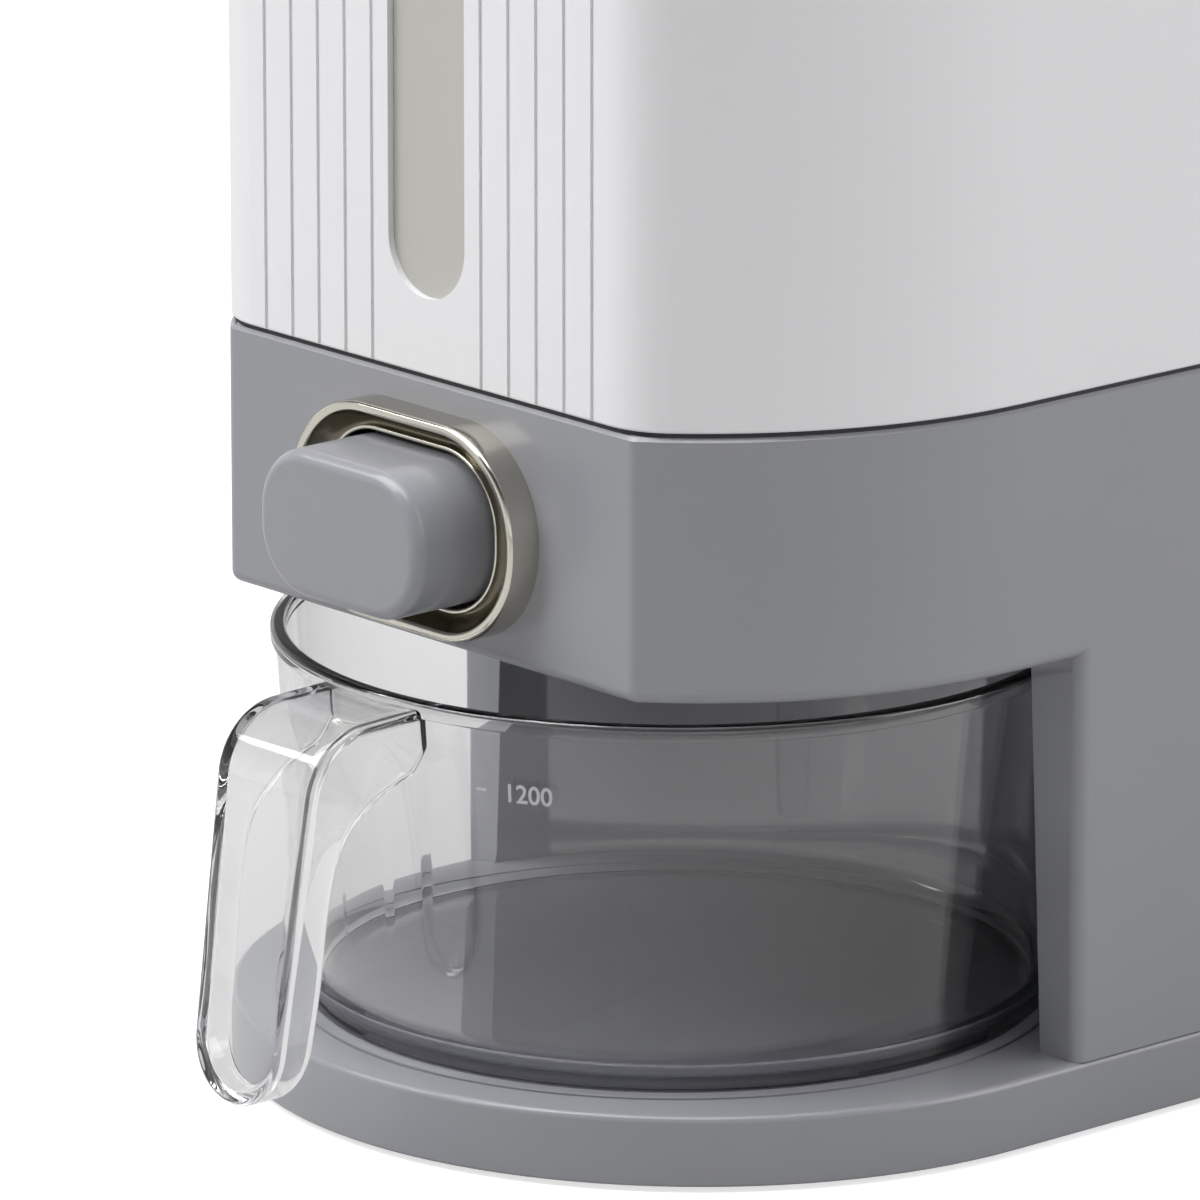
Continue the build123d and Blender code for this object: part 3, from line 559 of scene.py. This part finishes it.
letters = bpy.data.curves.new("digits", "FONT")
letters.body, letters.extrude, letters.offset = "1200", 0.01, FATTEN
blank = bpy.data.objects.new("digits_blank", letters)
bpy.context.scene.collection.objects.link(blank)
plain = bpy.data.meshes.new_from_object(blank.evaluated_get(bpy.context.evaluated_depsgraph_get()))
bpy.data.objects.remove(blank)
flat = np.empty(3 * len(plain.vertices))
plain.vertices.foreach_get("co", flat)
flat = flat.reshape(-1, 3)
low, high = flat.min(axis=0), flat.max(axis=0)
flat = (flat - (low + high) / 2) / (high - low) * np.array([*DIGITS_SIZE, 2.0])
print_on_cup("fill_mark_digits", flat, [list(polygon.vertices) for polygon in plain.polygons])

tick_edge = rounded_rectangle(*TICK_SIZE, TICK_END_R, steps=6) + np.array([TICK_OFFSET, 0])
count = len(tick_edge)
tick = np.concatenate([np.c_[tick_edge, np.full(count, depth)] for depth in (-1.0, 1.0)])
sides = grid_faces(2, count, closed_columns=True).tolist()
ends = [list(range(count, 2 * count)), list(range(count))[::-1]]
print_on_cup("fill_mark_tick", tick, sides + ends)
print("digits:", len(plain.polygons), "faces")

# %% [markdown]
# ## Bezel and liner
#
# The bezel is a plated ring round the button, and inside it a concave channel runs down to a thin bead
# round the cap's hole. Each ring of points is a rounded rectangle at some depth, and the channel's rings
# pass over from the bezel's outline to the button's, which have different corners. The channel is painted
# darker than the bead, as painted shade and dark reflection for its recess, so they are two pieces, and
# both take the place of the model's one liner.

# %% Bezel
BUTTON_Z = 132.9
BEZEL = (71.2, 46.6, 22.8)  # width, height, corner radius
CAP = (51.5, 32.0, 14.5)
RIM_T, BEZEL_REACH = 2.2, 7.9
OUTER_EDGE_R, INNER_EDGE_R = 1.0, 0.9


def ring(size, inset):
    """The outline of a rounded rectangle drawn in by inset, which shortens the radius by as much."""
    return rounded_rectangle(size[0] - 2 * inset, size[1] - 2 * inset, size[2] - inset)


def on_panel(outlines, proud):
    """Outlines (x, z) about the button's centre, each placed its own distance in front of the panel."""
    proud = np.broadcast_to(np.reshape(proud, (-1, 1)), outlines.shape[:2])
    return np.stack([outlines[..., 0], PANEL_Y - proud, BUTTON_Z + outlines[..., 1]], -1)


bezel_profile = rounded_path([(0.0, 0.0), (0.0, BEZEL_REACH), (RIM_T, BEZEL_REACH), (RIM_T, 0.0)],
                             (OUTER_EDGE_R, INNER_EDGE_R))
bezel_rings = np.array([ring(BEZEL, inset) for inset in bezel_profile[:, 0]])
bezel = surface("button_bezel", on_panel(bezel_rings, bezel_profile[:, 1]),
                grid_faces(*bezel_rings.shape[:2], closed_rows=True, closed_columns=True), champagne)
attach(bezel, "dispenser")
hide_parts("button_bezel")
print("bezel rings:", len(bezel_rings))

# %% Liner
LINER_GAP, LINER_TOP, CHANNEL_FLOOR = 0.1, 6.8, 1.6
HOLE_GAP, BEAD_T, BEAD_REACH, BEAD_EDGE_R = 1.0, 1.0, 5.0, 0.45
HOLLOW = 0.8  # below 1, the channel falls away faster beside the bezel

# From the bezel (0) to the bead (1), the channel's depth follows sin(90 degrees * fall) ** HOLLOW
fall = np.linspace(0, 1, 16)
channel_depth = LINER_TOP - (LINER_TOP - CHANNEL_FLOOR) * np.sin(fall * np.pi / 2) ** HOLLOW
bead_foot = HOLE_GAP + BEAD_T
bead = rounded_path([(bead_foot, 0.0), (bead_foot, BEAD_REACH), (HOLE_GAP, BEAD_REACH), (HOLE_GAP, 0.0)],
                    (BEAD_EDGE_R, BEAD_EDGE_R), steps=6)
outer, inner = ring(BEZEL, RIM_T + LINER_GAP), ring(CAP, -bead_foot)
channel_rings = np.concatenate([outer[None], outer + (inner - outer) * fall[:, None, None], inner[None]])
channel_proud = np.concatenate([[0.0], channel_depth, [0.0]])
bead_rings = np.array([ring(CAP, -grow) for grow in bead[:, 0]])
# The channel wears the champagne painted darker, as painted shade and dark reflection in its recess
for name, rings, proud, plating in (("liner_channel", channel_rings, channel_proud, champagne_painted_shade),
                                    ("liner_bead", bead_rings, bead[:, 1], champagne)):
    liner = surface(name, on_panel(rings, proud),
                    grid_faces(*rings.shape[:2], closed_rows=True, closed_columns=True), plating)
    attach(liner, "dispenser")
    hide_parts("bezel_liner")
print("channel rings:", len(channel_rings), "bead rings:", len(bead_rings))

# %% [markdown]
# ## Floor, light and background
#
# The object stands on a plain pale floor. Two large soft boxes light it, one high at the front left and one
# at the right and behind, as for a catalogue picture, and a third hangs above, so that ledges and top
# edges are the brightest places of the grey parts. Camera, mirror and glass rays see a white surrounding,
# but the light that falls on the object comes from the softer world colour. In mirrors and through glass
# the surroundings darken towards the ceiling, as in a studio, which draws the dark outlines of clear plastic.

# %% Floor and world
FLOOR_RADIUS = 4.0
GLOW, MIRROR_GLOW = 0.7, 0.1  # added to the floor seen directly or through glass, and in a mirror
FILL = 0.27  # how bright the surroundings are as a light
CEILING = 0.08  # how bright they look high up, in a mirror or through glass
DARKENS_FROM, DARKENS_TO = 0.12, 0.6  # heights on the unit sphere between which they get there
FLOOR_EDGE_POINTS = 96


def sees_background(tree):
    """1 for rays that show the background: from the camera, from a mirror or through glass."""
    path = add_node(tree, "ShaderNodeLightPath")
    first = add_node(tree, "ShaderNodeMath", operation="MAXIMUM")
    tree.links.new(path.outputs["Is Camera Ray"], first.inputs[0])
    tree.links.new(path.outputs["Is Glossy Ray"], first.inputs[1])
    both = add_node(tree, "ShaderNodeMath", operation="MAXIMUM")
    tree.links.new(first.outputs[0], both.inputs[0])
    tree.links.new(path.outputs["Is Transmission Ray"], both.inputs[1])
    return both.outputs[0]


world = bpy.data.worlds.new("studio")
bpy.context.scene.world = world
world.use_nodes = True
tree = world.node_tree
height = add_node(tree, "ShaderNodeSeparateXYZ",
                  {"Vector": add_node(tree, "ShaderNodeTexCoord").outputs["Generated"]}).outputs["Z"]
ceiling = add_node(tree, "ShaderNodeMapRange", {"Value": height, "From Min": DARKENS_FROM,
                                                "From Max": DARKENS_TO, "To Min": 1.0,
                                                "To Max": CEILING}).outputs["Result"]
path = add_node(tree, "ShaderNodeLightPath")
mirrored = add_node(tree, "ShaderNodeMix", {"Factor": sees_background(tree), "A": FILL, "B": ceiling})
shown = add_node(tree, "ShaderNodeMix", {"Factor": path.outputs["Is Camera Ray"],
                                         "A": mirrored.outputs["Result"], "B": 1.0})
background = tree.nodes["Background"]
background.inputs["Color"].default_value = (1.0, 1.0, 1.0, 1.0)
tree.links.new(shown.outputs["Result"], background.inputs["Strength"])

angles = np.linspace(0, 2 * np.pi, FLOOR_EDGE_POINTS, endpoint=False)
edge = np.stack([FLOOR_RADIUS * np.cos(angles), FLOOR_RADIUS * np.sin(angles), 0 * angles], axis=1)
floor_mesh = bpy.data.meshes.new("floor")
floor_mesh.from_pydata(edge.tolist(), [], [list(range(len(edge)))])
floor = bpy.data.objects.new("floor", floor_mesh)
bpy.context.scene.collection.objects.link(floor)
floor_paint, tree, shader = new_material("pale_studio_floor", "#b8b8b8", Roughness=0.9)
shader.inputs["Emission Color"].default_value = (1.0, 1.0, 1.0, 1.0)
path = add_node(tree, "ShaderNodeLightPath")
in_mirror = add_node(tree, "ShaderNodeMix", {"Factor": path.outputs["Is Glossy Ray"], "A": GLOW,
                                             "B": MIRROR_GLOW})
glow = add_node(tree, "ShaderNodeMix", {"Factor": sees_background(tree), "A": 0.0,
                                        "B": in_mirror.outputs["Result"]})
tree.links.new(glow.outputs["Result"], shader.inputs["Emission Strength"])
floor_mesh.materials.append(floor_paint)
print("floor radius:", FLOOR_RADIUS, "m")

# %% Soft boxes
MID_HEIGHT = Vector((0, 0, 0.15))  # metres: the lamps look at this point


def soft_box(name, azimuth, elevation, distance, size, power):
    """A flat lamp of size (m) and power (W) that looks at MID_HEIGHT from two angles in degrees."""
    place = distance * direction(azimuth, elevation)
    lamp = bpy.data.lights.new(name, "AREA")
    lamp.shape, lamp.size, lamp.size_y, lamp.energy = "RECTANGLE", size[0], size[1], power
    box = bpy.data.objects.new(name, lamp)
    bpy.context.scene.collection.objects.link(box)
    box.location = MID_HEIGHT + place
    box.rotation_euler = (-place).to_track_quat("-Z", "Y").to_euler()


# azimuth and elevation in degrees, distance and size in metres, power in watts
soft_box("front_left_box", -36, 49, 1.9, (1.4, 1.4), 33)
soft_box("right_back_box", 124, 26, 1.9, (1.2, 1.4), 16)
soft_box("overhead_box", 10, 84, 1.8, (1.2, 1.2), 25)
print("three soft boxes hung")
